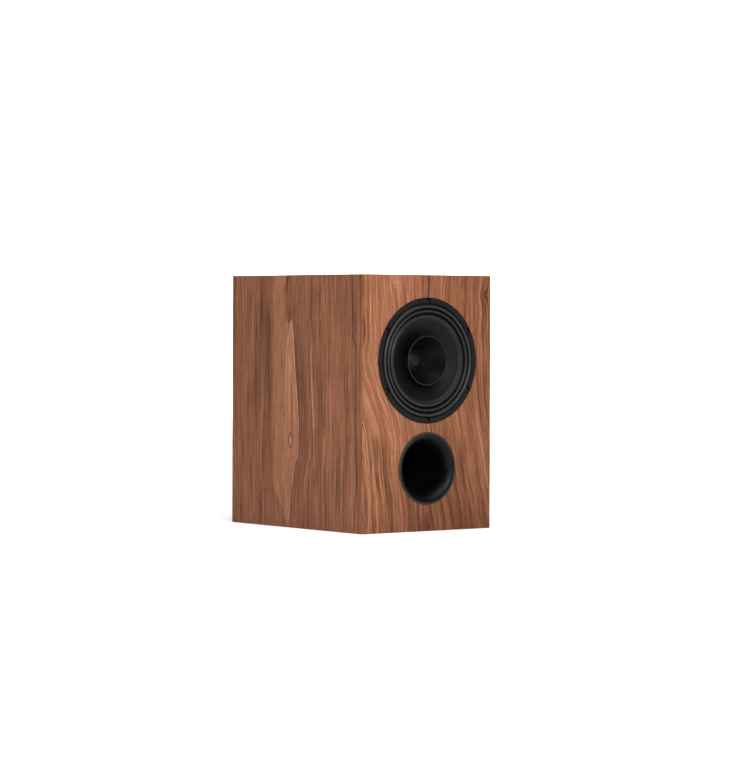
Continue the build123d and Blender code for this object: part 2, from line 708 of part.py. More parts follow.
def make_wiring():
    """Two wires from the posts' tags to the driver's tags, with their push-on receptacles."""
    tag_y = CUP_BACK_Y - WASHER_T - TAG_T / 2
    strip_y = TRIM_Y + SHELF_DEPTH + SHEET
    rear = []
    front = []
    for colour, x, driver_x in (("red", -POST_SPACING / 2, -7.0), ("black", POST_SPACING / 2, 7.0)):
        rear.append(Pos(x, tag_y, CUP_Z + 8.0) * push_on(7.8, 2.7, 18.0))
        low_z = DRIVER_Z - 54.4
        front_end_y = strip_y + 3.6
        front.append(Pos(driver_x, front_end_y, low_z) * Rot(-90, 0, 0) * push_on(7.8, 2.7, 18.0))
        side = 1 if x > 0 else -1
        points = [
            (x, tag_y, CUP_Z + 22.0),
            (x, tag_y, CUP_Z + 40.0),
            (x + side * 3.0, tag_y - 26.0, CUP_Z + 48.0),
            (x + side * 6.0, tag_y - 70.0, CUP_Z + 50.0),
            (x + side * 5.0, tag_y - 122.0, CUP_Z + 76.0),
            (driver_x, front_end_y + 50.0, low_z),
            (driver_x, front_end_y + 14.0, low_z),
        ]
        parts[colour + "_wire"] = round_wire(points, [9.0, 40.0, 40.0, 40.0, 60.0], 1.5)
    parts["rear_push_ons"] = rear
    parts["driver_push_ons"] = front


make_cabinet()
make_driver_frame()
make_magnet()
make_moving_assembly()
make_port()
make_terminal_cup()
make_binding_post("red", -POST_SPACING / 2)
make_binding_post("black", POST_SPACING / 2)
make_post_hardware()
make_wiring()

os.makedirs("parts", exist_ok=True)
for name, shape in parts.items():
    if isinstance(shape, list):
        shape = Compound(children=shape)
    export_step(shape, "parts/" + name + ".step")
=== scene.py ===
"""Looks of the bookshelf speaker, in metres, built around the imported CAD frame."""
import json
import math

import bmesh
import bpy
from mathutils import Matrix, Vector, noise


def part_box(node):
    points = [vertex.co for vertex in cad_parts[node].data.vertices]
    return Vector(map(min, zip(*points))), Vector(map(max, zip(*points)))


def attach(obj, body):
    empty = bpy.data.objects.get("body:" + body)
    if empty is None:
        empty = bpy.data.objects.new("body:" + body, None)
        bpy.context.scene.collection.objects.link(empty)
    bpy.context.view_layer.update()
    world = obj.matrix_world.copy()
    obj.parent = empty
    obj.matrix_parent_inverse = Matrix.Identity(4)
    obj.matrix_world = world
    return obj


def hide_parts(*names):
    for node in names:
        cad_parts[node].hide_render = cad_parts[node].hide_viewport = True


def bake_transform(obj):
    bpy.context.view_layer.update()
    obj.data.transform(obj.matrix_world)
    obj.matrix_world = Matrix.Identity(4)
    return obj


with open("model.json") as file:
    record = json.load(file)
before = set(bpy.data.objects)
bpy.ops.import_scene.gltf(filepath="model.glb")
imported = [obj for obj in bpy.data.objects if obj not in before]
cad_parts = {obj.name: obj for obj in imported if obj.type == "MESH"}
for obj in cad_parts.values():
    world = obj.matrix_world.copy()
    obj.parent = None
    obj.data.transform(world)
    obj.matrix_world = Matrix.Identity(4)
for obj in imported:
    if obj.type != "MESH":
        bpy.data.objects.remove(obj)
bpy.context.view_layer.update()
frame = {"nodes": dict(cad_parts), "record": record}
NODES = frame["nodes"]
MM = 0.001


def srgb(r, g, b):
    """Linear colour of an 8-bit sRGB one."""
    def linear(c):
        c /= 255.0
        return c / 12.92 if c <= 0.04045 else ((c + 0.055) / 1.055) ** 2.4
    return (linear(r), linear(g), linear(b), 1.0)


# ---- places worked out from the frame --------------------------------------------------------------------
baffle_low, baffle_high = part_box("front_baffle")
trim_low, trim_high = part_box("trim_ring")
flare_low, flare_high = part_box("port_flare")

FRONT_Y = baffle_low.y
HEIGHT = baffle_high.z
WIDTH = baffle_high.x - baffle_low.x
DRIVER = Vector((0, trim_low.y, (trim_low.z + trim_high.z) / 2))
PORT = Vector((0, flare_low.y, (flare_low.z + flare_high.z) / 2))


# ---- camera ----------------------------------------------------------------------------------------------
CAMERA_AZIMUTH = math.radians(-37.91)
CAMERA_PITCH = math.radians(1.39)
CAMERA_ROLL = math.radians(0.213)
CAMERA_DISTANCE = 11.53 * HEIGHT
CAMERA_TARGET = Vector((-0.26 * HEIGHT, FRONT_Y, 0.557 * HEIGHT))
LENS_MM = 138.4


def make_camera():
    """Long lens at the speaker's front left, a little above its middle."""
    az, el = CAMERA_AZIMUTH, CAMERA_PITCH
    forward = Vector((-math.sin(az) * math.cos(el), math.cos(az) * math.cos(el), -math.sin(el)))
    right = Vector((math.cos(az), math.sin(az), 0.0))
    up = right.cross(forward)
    x_axis = right * math.cos(CAMERA_ROLL) + up * math.sin(CAMERA_ROLL)
    y_axis = up * math.cos(CAMERA_ROLL) - right * math.sin(CAMERA_ROLL)
    data = bpy.data.cameras.new("camera")
    data.lens = LENS_MM
    data.sensor_width = 36.0
    data.clip_end = 50.0
    camera = bpy.data.objects.new("camera", data)
    place = Matrix((x_axis, y_axis, -forward)).transposed().to_4x4()
    place.translation = CAMERA_TARGET - forward * CAMERA_DISTANCE
    camera.matrix_world = place
    bpy.context.scene.collection.objects.link(camera)
    bpy.context.scene.camera = camera


make_camera()


# ---- small shader language -------------------------------------------------------------------------------
class Shader:
    """A node material. Its methods add nodes and return output sockets; numbers may stand for sockets."""

    def __init__(self, name):
        self.material = bpy.data.materials.new(name)
        self.material.use_nodes = True
        self.tree = self.material.node_tree
        self.tree.nodes.clear()
        self.surface = self.node("ShaderNodeBsdfPrincipled")
        output = self.node("ShaderNodeOutputMaterial")
        self.tree.links.new(self.surface.outputs[0], output.inputs[0])
        self.place = self.node("ShaderNodeTexCoord").outputs["Object"]

    def node(self, kind, **settings):
        made = self.tree.nodes.new(kind)
        for key, value in settings.items():
            setattr(made, key, value)
        return made

    def join(self, socket, value):
        if isinstance(value, bpy.types.NodeSocket):
            self.tree.links.new(value, socket)
        else:
            socket.default_value = value

    def math(self, operation, *values, clamp=False):
        made = self.node("ShaderNodeMath", operation=operation, use_clamp=clamp)
        for socket, value in zip(made.inputs, values):
            self.join(socket, value)
        return made.outputs[0]

    def add(self, a, b):
        return self.math("ADD", a, b)

    def sub(self, a, b):
        return self.math("SUBTRACT", a, b)

    def mul(self, a, b):
        return self.math("MULTIPLY", a, b)

    def axes(self, vector=None):
        split = self.node("ShaderNodeSeparateXYZ")
        self.join(split.inputs[0], vector or self.place)
        return split.outputs[0], split.outputs[1], split.outputs[2]

    def vector(self, x, y, z):
        made = self.node("ShaderNodeCombineXYZ")
        for socket, value in zip(made.inputs, (x, y, z)):
            self.join(socket, value)
        return made.outputs[0]

    def scaled(self, vector, scale):
        made = self.node("ShaderNodeVectorMath", operation="MULTIPLY")
        self.join(made.inputs[0], vector)
        self.join(made.inputs[1], scale)
        return made.outputs[0]

    def noise(self, vector, scale=1.0, detail=2.0, rough=0.5, distortion=0.0):
        made = self.node("ShaderNodeTexNoise")
        self.join(made.inputs["Vector"], vector)
        self.join(made.inputs["Scale"], scale)
        self.join(made.inputs["Detail"], detail)
        self.join(made.inputs["Roughness"], rough)
        self.join(made.inputs["Distortion"], distortion)
        return made.outputs[0]

    def cells(self, vector, scale=1.0):
        made = self.node("ShaderNodeTexVoronoi")
        self.join(made.inputs["Vector"], vector)
        self.join(made.inputs["Scale"], scale)
        return made.outputs["Distance"]

    def remap(self, value, low, high, to_low=0.0, to_high=1.0, smooth=True):
        made = self.node("ShaderNodeMapRange", interpolation_type="SMOOTHSTEP" if smooth else "LINEAR")
        for socket, v in zip(made.inputs[:5], (value, low, high, to_low, to_high)):
            self.join(socket, v)
        return made.outputs[0]

    def mix(self, factor, a, b):
        made = self.node("ShaderNodeMix", data_type="RGBA")
        self.join(made.inputs["Factor"], factor)
        self.join(made.inputs[6], a)
        self.join(made.inputs[7], b)
        return made.outputs[2]

    def ramp(self, factor, stops):
        made = self.node("ShaderNodeValToRGB")
        elements = made.color_ramp.elements
        while len(elements) < len(stops):
            elements.new(0.5)
        for element, (position, colour) in zip(elements, stops):
            element.position = position
            element.color = colour
        self.join(made.inputs[0], factor)
        return made.outputs[0]

    def hump(self, u, v, centre, spread):
        """A bell of height 1 at centre = (u, v), with the half-widths in spread."""
        du = self.mul(self.sub(u, centre[0]), 1.0 / spread[0])
        dv = self.mul(self.sub(v, centre[1]), 1.0 / spread[1])
        square = self.add(self.mul(du, du), self.mul(dv, dv))
        return self.math("EXPONENT", self.mul(square, -1.0))

    def bell(self, value, width):
        """A bell of height 1 at value 0."""
        narrow = self.mul(value, 1.0 / width)
        return self.math("EXPONENT", self.mul(self.mul(narrow, narrow), -1.0))

    def mix_value(self, factor, a, b):
        made = self.node("ShaderNodeMix", data_type="FLOAT")
        self.join(made.inputs[0], factor)
        self.join(made.inputs[2], a)
        self.join(made.inputs[3], b)
        return made.outputs[0]

    def curve(self, height, points):
        """The value at a height on a smooth line through (height, value) points, in mm."""
        top = max(p[0] for p in points)
        low = min(p[1] for p in points)
        span = max(p[1] for p in points) - low
        made = self.node("ShaderNodeFloatCurve")
        line = made.mapping.curves[0]
        places = [(z / top, (value - low) / span) for z, value in points]
        line.points[0].location = places[0]
        line.points[1].location = places[-1]
        for place in places[1:-1]:
            line.points.new(*place)
        made.mapping.extend = "HORIZONTAL"
        made.mapping.update()
        self.join(made.inputs["Value"], self.mul(height, 1.0 / top))
        return self.add(self.mul(made.outputs[0], span), low)

    def polar(self, centre):
        """(radius, angle) about a line along Y through centre."""
        x, y, z = self.axes()
        dx = self.sub(x, centre.x)
        dz = self.sub(z, centre.z)
        return self.math("SQRT", self.add(self.mul(dx, dx), self.mul(dz, dz))), self.math("ARCTAN2", dz, dx)

    def bump(self, height, distance, strength=1.0):
        made = self.node("ShaderNodeBump")
        made.inputs["Strength"].default_value = strength
        made.inputs["Distance"].default_value = distance
        self.join(made.inputs["Height"], height)
        self.tree.links.new(made.outputs[0], self.surface.inputs["Normal"])

    def finish(self, **sockets):
        """Sets the surface's own sockets, named with _ for a space, and returns the material."""
        for key, value in sockets.items():
            self.join(self.surface.inputs[key.replace("_", " ")], value)
        return self.material


# ---- walnut ----------------------------------------------------------------------------------------------
WALNUT = [
    srgb(62, 33, 21), srgb(94, 55, 35), srgb(119, 74, 50),
    srgb(138, 89, 63), srgb(160, 109, 80), srgb(187, 136, 106),
]
WALNUT_STOPS = (0.02, 0.24, 0.44, 0.62, 0.80, 1.0)

# The leaf-shaped figure on the sides, in mm: (z, y) along each edge, and the streaks beside it.
LEAF_REAR = [
    (0, 13), (23, 17), (50, 24), (76, 29), (130, 25), (170, 23), (210, 23), (243, 21), (266, 15), (284, 11),
]
LEAF_FRONT = [
    (0, 13), (36, 11), (66, 5), (90, -1), (98, -7), (130, -8),
    (163, -6), (190, -3), (243, 3), (266, 5), (284, 11),
]
STRIP_REAR = [(0, 18), (10, 22), (42, 40), (62, 51), (110, 48), (210, 50), (343, 52)]
PALE_STREAK = [(0, -52), (43, -48), (90, -43), (143, -42), (176, -38), (226, -36), (276, -38), (343, -43)]
DARK_STREAK = [(0, -140), (76, -138), (110, -135), (176, -133), (243, -135), (260, -128), (343, -125)]
# Near-black used as painted shade in the grooves of the surround and the rings of the dust cap.
SHADE_BLACK = (0.0004, 0.0004, 0.0004, 1.0)


def walnut(name, grain, seed):
    """Oiled walnut veneer. grain(shader) gives the figure in mm: across and along the lines, and straight
    across the fibres. It also gives lift, which is added to the lightness, seams, the strength of the dark
    lines, and calm, how plain it is."""
    s = Shader(name)
    across, along, straight, lift, seams, calm = grain(s)
    wide = s.noise(s.vector(across, s.mul(along, 0.05), seed), 0.030, 2.0, 0.5)
    bands = s.noise(s.vector(across, s.mul(along, 0.03), seed + 4.0), 0.115, 2.0, 0.55)
    thin = s.noise(s.vector(across, s.mul(along, 0.016), seed + 7.0), 0.52, 3.0, 0.72)
    fibres = s.noise(s.vector(straight, s.mul(along, 0.022), seed + 13.0), 1.1, 4.0, 0.75)
    flecks = s.noise(s.vector(straight, s.mul(along, 0.09), seed + 17.0), 3.0, 2.0, 0.6)
    level = s.add(s.mul(s.sub(wide, 0.5), 0.28), s.mul(s.sub(bands, 0.5), 0.36))
    level = s.add(level, s.mul(s.sub(thin, 0.5), 1.15))
    level = s.mul(level, s.sub(1.0, s.mul(calm, 0.6)))
    level = s.add(level, s.mul(s.sub(fibres, 0.5), 1.10))
    level = s.add(level, s.mul(s.sub(flecks, 0.5), 0.30))
    level = s.add(s.add(level, lift), 0.5)
    colour = s.ramp(level, list(zip(WALNUT_STOPS, WALNUT)))
    seam = s.noise(s.vector(across, s.mul(along, 0.014), seed + 21.0), 0.14, 2.0, 0.5)
    line = s.bell(s.sub(seam, 0.5), 0.035)
    patch = s.noise(s.vector(s.mul(across, 0.4), s.mul(along, 0.2), seed + 23.0), 0.06, 2.0, 0.5)
    line = s.mul(s.mul(line, s.remap(patch, 0.38, 0.58)), s.mul(seams, s.sub(1.0, calm)))
    colour = s.mix(line, colour, WALNUT[0])
    pores = s.noise(s.vector(s.mul(straight, 1.9), s.mul(along, 0.07), seed + 29.0), 1.0, 2.0, 0.5)
    pores = s.remap(pores, 0.58, 0.68)
    colour = s.mix(s.mul(pores, 0.50), colour, WALNUT[0])
    rough = s.remap(fibres, 0.2, 0.8, 0.48, 0.60, smooth=False)
    s.bump(s.sub(s.mul(fibres, 0.5), pores), 0.0001, 0.3)
    return s.finish(Base_Color=colour, Roughness=rough, IOR=1.45, Specular_IOR_Level=0.15)


def millimetres(s):
    """The object's own coordinates in mm."""
    return [s.mul(c, 1000.0) for c in s.axes()]


def front_grain(s):
    """Front: grain that comes in from the left edge and leans away to the lower right, with small cathedral
    curves at the top left and a knot at the top right."""
    x, y, z = millimetres(s)
    depth = s.sub(y, FRONT_Y * 1000.0)
    left = s.add(s.remap(z, 240.0, 110.0, 0.0, 38.0), s.remap(z, 110.0, 0.0, 0.0, 9.0))
    right = s.remap(z, 180.0, 0.0, 0.0, 38.0, smooth=False)
    side = s.remap(x, -60.0, 30.0)
    shift = s.add(s.mul(left, s.sub(1.0, side)), s.mul(right, side))
    wander = s.noise(s.vector(s.mul(x, 0.018), s.mul(z, 0.008), 3.0), 1.0, 2.0)
    waves = s.noise(s.vector(s.mul(x, 0.03), s.mul(z, 0.03), 8.0), 1.0, 2.0)
    leaning = s.add(s.sub(x, shift), depth)
    across = s.add(leaning, s.add(s.mul(s.sub(wander, 0.5), 18.0), s.mul(s.sub(waves, 0.5), 3.5)))
    arch = s.hump(x, z, (-64.0, 345.0), (13.0, 46.0))
    knot = s.hump(x, z, (97.0, 316.0), (6.0, 12.0))
    across = s.add(across, s.add(s.mul(arch, 17.0), s.mul(knot, 7.0)))
    # Lighter towards the left edge, partly the veneer's own tone and partly painted light from the key lamp on
    # the left; darker at the knot.
    lift = s.add(s.remap(x, -112.0, 60.0, 0.08, -0.03, smooth=False), s.mul(knot, -0.12))
    # Painted shade: darker towards the bottom, where less light falls.
    lift = s.add(lift, s.remap(z, 150.0, 0.0, 0.0, -0.15))
    # Painted shade: darker still towards the bottom right.
    lift = s.add(lift, s.mul(s.remap(z, 110.0, 0.0), s.remap(x, 0.0, 100.0, 0.0, -0.07)))
    streaks = s.noise(s.vector(across, s.mul(z, 0.03), 40.0), 0.085, 3.0, 0.6)
    lift = s.add(lift, s.mul(s.sub(streaks, 0.5), s.remap(z, 220.0, 60.0, 0.25, 1.0)))
    return across, z, leaning, lift, 0.85, 0.1


def side_grain(s):
    """Sides: straight grain that parts round one long leaf-shaped figure with an eye in it."""
    x, y, z = millimetres(s)
    depth = s.sub(WIDTH * 500.0, s.math("ABSOLUTE", x))
    ragged = s.mul(s.sub(s.noise(s.vector(0.0, z, 3.0), 0.05, 3.0), 0.5), 3.0)
    smooth_rear, smooth_front = s.curve(z, LEAF_REAR), s.curve(z, LEAF_FRONT)
    rear = s.add(smooth_rear, ragged)
    front = s.add(smooth_front, ragged)
    behind = s.sub(y, rear)
    ahead = s.sub(front, y)
    outside = s.math("MAXIMUM", behind, ahead)
    leaf = s.remap(outside, 0.6, -0.6)
    edge = s.mix_value(s.remap(s.sub(behind, ahead), -1.0, 1.0), smooth_front, smooth_rear)
    near = s.remap(outside, 0.0, 60.0, 1.0, 0.0)
    wander = s.noise(s.vector(s.mul(y, 0.02), s.mul(z, 0.006), 9.0), 1.0, 2.0)
    around = s.sub(y, s.mul(s.sub(edge, 11.0), near))
    around = s.add(around, s.mul(s.mul(s.sub(wander, 0.5), 16.0), s.sub(1.0, near)))
    eye_y = s.mul(s.sub(y, 10.8), 1.0 / 3.6)
    eye_z = s.mul(s.sub(z, 119.0), 1.0 / 7.4)
    eye = s.math("SQRT", s.add(s.mul(eye_y, eye_y), s.mul(eye_z, eye_z)))
    nested = s.add(s.mul(outside, 1.4), s.mul(s.math("EXPONENT", s.mul(eye, -0.8)), 14.0))
    across = s.mix_value(leaf, around, s.add(nested, 90.0))
    across = s.add(across, depth)

    strip_rear = s.add(s.curve(z, STRIP_REAR), s.mul(ragged, 0.6))
    strip_front = s.math("MAXIMUM", rear, s.remap(z, 250.0, 285.0, -60.0, 24.0))
    strip_end = s.remap(y, s.sub(strip_rear, -1.2), s.sub(strip_rear, 1.2))
    strip = s.mul(strip_end, s.remap(s.sub(y, strip_front), -0.6, 0.6))
    lift = s.add(s.mul(strip, 0.14), s.mul(leaf, s.remap(z, 60.0, 250.0, 0.15, 0.27)))
    lift = s.add(lift, s.mul(s.mul(s.bell(s.add(outside, 1.0), 1.0), s.remap(z, 295.0, 280.0)), 0.14))
    lift = s.sub(lift, s.mul(s.bell(s.sub(ahead, 1.2), 1.2), s.remap(z, 295.0, 280.0, 0.0, 0.12)))
    lift = s.sub(lift, s.mul(s.mul(s.bell(s.sub(eye, 1.2), 0.3), leaf), 0.34))
    lift = s.add(lift, s.mul(s.mul(s.bell(eye, 0.8), leaf), 0.16))
    lift = s.sub(lift, s.mul(s.hump(y, z, (8.0, 168.0), (1.6, 34.0)), 0.34))
    lift = s.add(lift, s.mul(s.hump(y, z, (13.8, 200.0), (1.3, 40.0)), 0.14))
    pale = s.bell(s.sub(y, s.curve(z, PALE_STREAK)), 2.4)
    lift = s.add(lift, s.mul(pale, s.add(s.mul(s.hump(z, z, (180.0, 180.0), (120.0, 120.0)), 0.22), 0.10)))
    dark = s.bell(s.sub(y, s.curve(z, DARK_STREAK)), 1.2)
    lift = s.sub(lift, s.mul(dark, 0.34))
    lift = s.sub(lift, s.mul(s.hump(y, z, (80.0, 293.0), (3.2, 28.0)), 0.26))
    lift = s.sub(lift, s.mul(s.hump(y, z, (78.5, 26.0), (2.6, 24.0)), 0.28))
    lift = s.sub(lift, s.mul(s.hump(y, z, (63.0, 190.0), (10.0, 150.0)), 0.16))
    lift = s.sub(lift, s.mul(s.hump(s.add(y, s.mul(z, 0.5)), z, (186.0, 330.0), (2.5, 16.0)), 0.25))
    return across, z, s.add(y, depth), lift, 0.6, s.math("MAXIMUM", strip, leaf)


def top_grain(s):
    """Top and bottom: the side's plain grain carried over the edge, along X."""
    x, y, z = millimetres(s)
    depth = s.sub(HEIGHT * 500.0, s.math("ABSOLUTE", s.sub(z, HEIGHT * 500.0)))
    wander = s.noise(s.vector(s.mul(y, 0.02), s.mul(x, 0.006), 19.0), 1.0, 2.0)
    across = s.add(s.add(y, depth), s.mul(s.sub(wander, 0.5), 18.0))
    return across, x, s.add(y, depth), 0.0, 0.6, 0.0


def rear_grain(s):
    """Rear board: plain upright grain."""
    x, y, z = millimetres(s)
    wander = s.noise(s.vector(s.mul(x, 0.02), s.mul(z, 0.006), 31.0), 1.0, 2.0)
    across = s.add(s.add(x, y), s.mul(s.sub(wander, 0.5), 22.0))
    return across, z, s.add(x, y), -0.03, 0.6, 0.0


# ---- other materials -------------------------------------------------------------------------------------
def moulded(name, colour, rough, grain_mm=0.5, depth=0.00003, spec=0.3):
    """Moulded plastic or rubber with a fine grain and slightly uneven gloss."""
    s = Shader(name)
    fine = s.noise(s.place, 1000.0 / grain_mm, 3.0, 0.6)
    broad = s.noise(s.place, 26.0, 3.0, 0.6)
    roughness = s.remap(broad, 0.3, 0.7, rough - 0.05, rough + 0.05, smooth=False)
    tint = s.mix(s.remap(broad, 0.3, 0.7), colour, lighter(colour, 1.3))
    s.bump(fine, depth, 0.5)
    return s.finish(Base_Color=tint, Roughness=roughness, Specular_IOR_Level=spec)


def metal(name, colour, rough, brushed=0.0):
    """Plated or bare metal with faint smudges and, if brushed, turning marks across Y."""
    s = Shader(name)
    broad = s.noise(s.place, 60.0, 4.0, 0.6)
    marks = s.noise(s.scaled(s.place, (300.0, 9000.0, 300.0)), 1.0, 2.0, 0.5)
    roughness = s.remap(broad, 0.3, 0.7, rough * 0.8, rough * 1.25, smooth=False)
    tint = s.mix(s.remap(broad, 0.3, 0.7), colour, lighter(colour, 0.85))
    s.bump(marks, 0.00002, brushed)
    return s.finish(Base_Color=tint, Metallic=1.0, Roughness=roughness)


def fibrous(name, dark, light, scale, rough=0.95, depth=0.0002, sheen=0.0, spec=0.15):
    """Felt, board or card: short tangled fibres in two tones."""
    s = Shader(name)
    tangle = s.noise(s.place, scale, 5.0, 0.75, 1.5)
    clumps = s.noise(s.place, scale * 0.12, 3.0, 0.6)
    mixed = s.add(s.mul(tangle, 0.7), s.mul(clumps, 0.3))
    s.bump(tangle, depth, 0.8)
    tint = s.mix(s.remap(mixed, 0.35, 0.65), dark, light)
    return s.finish(Base_Color=tint, Roughness=rough, Specular_IOR_Level=spec, Sheen_Weight=sheen)


def woven_round(name, dark, light, rough, threads=900.0, pitch_mm=0.45, spec=0.2, grooves=(), dull_mm=0.0):
    """Cloth pressed to a round shape about the driver's axis, its weave seen through a coating, with painted
    shade, black and without reflection, in the grooves at (radius, half-width) in mm, and less coating inside
    the radius dull_mm."""
    s = Shader(name)
    radius, angle = s.polar(DRIVER)
    rings = s.math("SINE", s.mul(radius, 2000.0 * math.pi / pitch_mm))
    spokes = s.math("SINE", s.mul(angle, threads))
    weave = s.mul(s.add(rings, spokes), 0.25)
    weave = s.add(weave, 0.5)
    broad = s.noise(s.place, 45.0, 3.0, 0.6)
    s.bump(weave, 0.00006, 0.5)
    tint = s.mix(s.mul(s.add(weave, broad), 0.5), dark, light)
    gloss = (1.0, 1.0, 1.0, 1.0)
    if dull_mm:
        dull = s.remap(s.mul(radius, 1000.0), dull_mm - 1.0, dull_mm + 1.0, 1.0, 0.0)
        rough = s.mix_value(dull, rough, 0.6)
        gloss = s.mix(dull, gloss, (0.45, 0.42, 0.40, 1.0))
    # Painted shade: each groove is painted black and its reflection is taken away, for the shade that falls in
    # it.
    for groove_r, width in grooves:
        groove_shade = s.bell(s.sub(s.mul(radius, 1000.0), groove_r), width)
        tint = s.mix(groove_shade, tint, SHADE_BLACK)
        gloss = s.mix(groove_shade, gloss, (0.0, 0.0, 0.0, 1.0))
    return s.finish(Base_Color=tint, Roughness=rough, Specular_IOR_Level=spec, Specular_Tint=gloss)


def paper(name, dark, light, rough, spec=0.15, rim_highlight_mm=None):
    """Pressed paper cone: pale fibres, faint rings left by the mould, and a painted highlight, a paler rim,
    past the radius in mm given last.
    """
    s = Shader(name)
    radius, angle = s.polar(DRIVER)
    rings = s.noise(s.vector(s.mul(radius, 2600.0), 0.0, 4.0), 1.0, 2.0, 0.5)
    fibres = s.noise(s.place, 1400.0, 4.0, 0.7, 1.0)
    blotches = s.noise(s.place, 40.0, 3.0, 0.6)
    mixed = s.add(s.mul(fibres, 0.5), s.add(s.mul(blotches, 0.35), s.mul(rings, 0.15)))
    s.bump(s.add(s.mul(fibres, 0.6), s.mul(rings, 0.4)), 0.00008, 0.5)
    tint = s.mix(s.remap(mixed, 0.36, 0.64), dark, light)
    # Painted highlight: the rim is painted nine times paler past the given radius.
    if rim_highlight_mm:
        tint = s.mix(s.remap(s.mul(radius, 1000.0), rim_highlight_mm - 0.3, rim_highlight_mm + 0.2), tint, lighter(light, 9.0))
    return s.finish(Base_Color=tint, Roughness=rough, Specular_IOR_Level=spec)


def ringed(name, centre, inner, outer, edge_mm, rough, depth, spec, screw_hole_shade=None):
    """Moulding with painted shade, the darker inner colour, inside a radius about centre and a lighter colour
    outside it. The last argument, (count, radius in mm), puts the painted shade round each screw, for the shade
    of its hole."""
    s = Shader(name)
    radius, angle = s.polar(centre)
    fine = s.noise(s.place, 2200.0, 3.0, 0.6)
    broad = s.noise(s.place, 26.0, 3.0, 0.6)
    # Painted shade inside edge_mm: the inner colour stands for the shade in the gap or throat inside the ring.
    tint = s.mix(s.remap(s.mul(radius, 1000.0), edge_mm - 1.2, edge_mm + 1.2), inner, outer)
    if screw_hole_shade:
        count, seat_r = screw_hole_shade
        turn = s.math("FRACT", s.mul(s.sub(angle, math.radians(90.0)), count / (2 * math.pi)))
        turn = s.math("MINIMUM", turn, s.sub(1.0, turn))
        sideways = s.mul(turn, seat_r * 2 * math.pi / count)
        outward = s.sub(s.mul(radius, 1000.0), seat_r)
        away = s.math("SQRT", s.add(s.mul(sideways, sideways), s.mul(outward, outward)))
        # Painted shade round each screw hole.
        tint = s.mix(s.remap(away, 3.9, 4.7, 1.0, 0.0), tint, inner)
    tint = s.mix(s.mul(broad, 0.4), tint, inner)
    s.bump(fine, depth, 0.5)
    roughness = s.remap(broad, 0.3, 0.7, rough - 0.05, rough + 0.05, smooth=False)
    return s.finish(Base_Color=tint, Roughness=roughness, Specular_IOR_Level=spec)


def cellular(name, colour, cell_mm):
    """Closed-cell foam, with painted shade in the hollows of its cells."""
    s = Shader(name)
    cells = s.cells(s.place, 1000.0 / cell_mm)
    s.bump(cells, 0.0002, 0.7)
    # Painted shade: darker in the low middle of each cell.
    tint = s.mix(s.remap(cells, 0.0, 0.6), lighter(colour, 0.5), colour)
    return s.finish(Base_Color=tint, Roughness=0.9, Specular_IOR_Level=0.15)


def wound(name, colour, pitch_mm):
    """Enamelled wire wound round the driver's axis, with painted shade in the seams between turns."""
    s = Shader(name)
    _, y, _ = s.axes()
    turns = s.math("ABSOLUTE", s.math("SINE", s.mul(y, 1000.0 * math.pi / pitch_mm)))
    s.bump(turns, 0.0001, 0.8)
    # Painted shade: darker in the seams between turns.
    tint = s.mix(turns, lighter(colour, 0.35), colour)
    return s.finish(Base_Color=tint, Metallic=0.9, Roughness=0.3)


def lighter(colour, factor):
    """The colour scaled, kept within range."""
    return tuple(min(1.0, c * factor) for c in colour[:3]) + (1.0,)


# The driver's six screws lie on this circle, in mm.
SCREW_COUNT = 6
SCREW_RING_R = 79.6

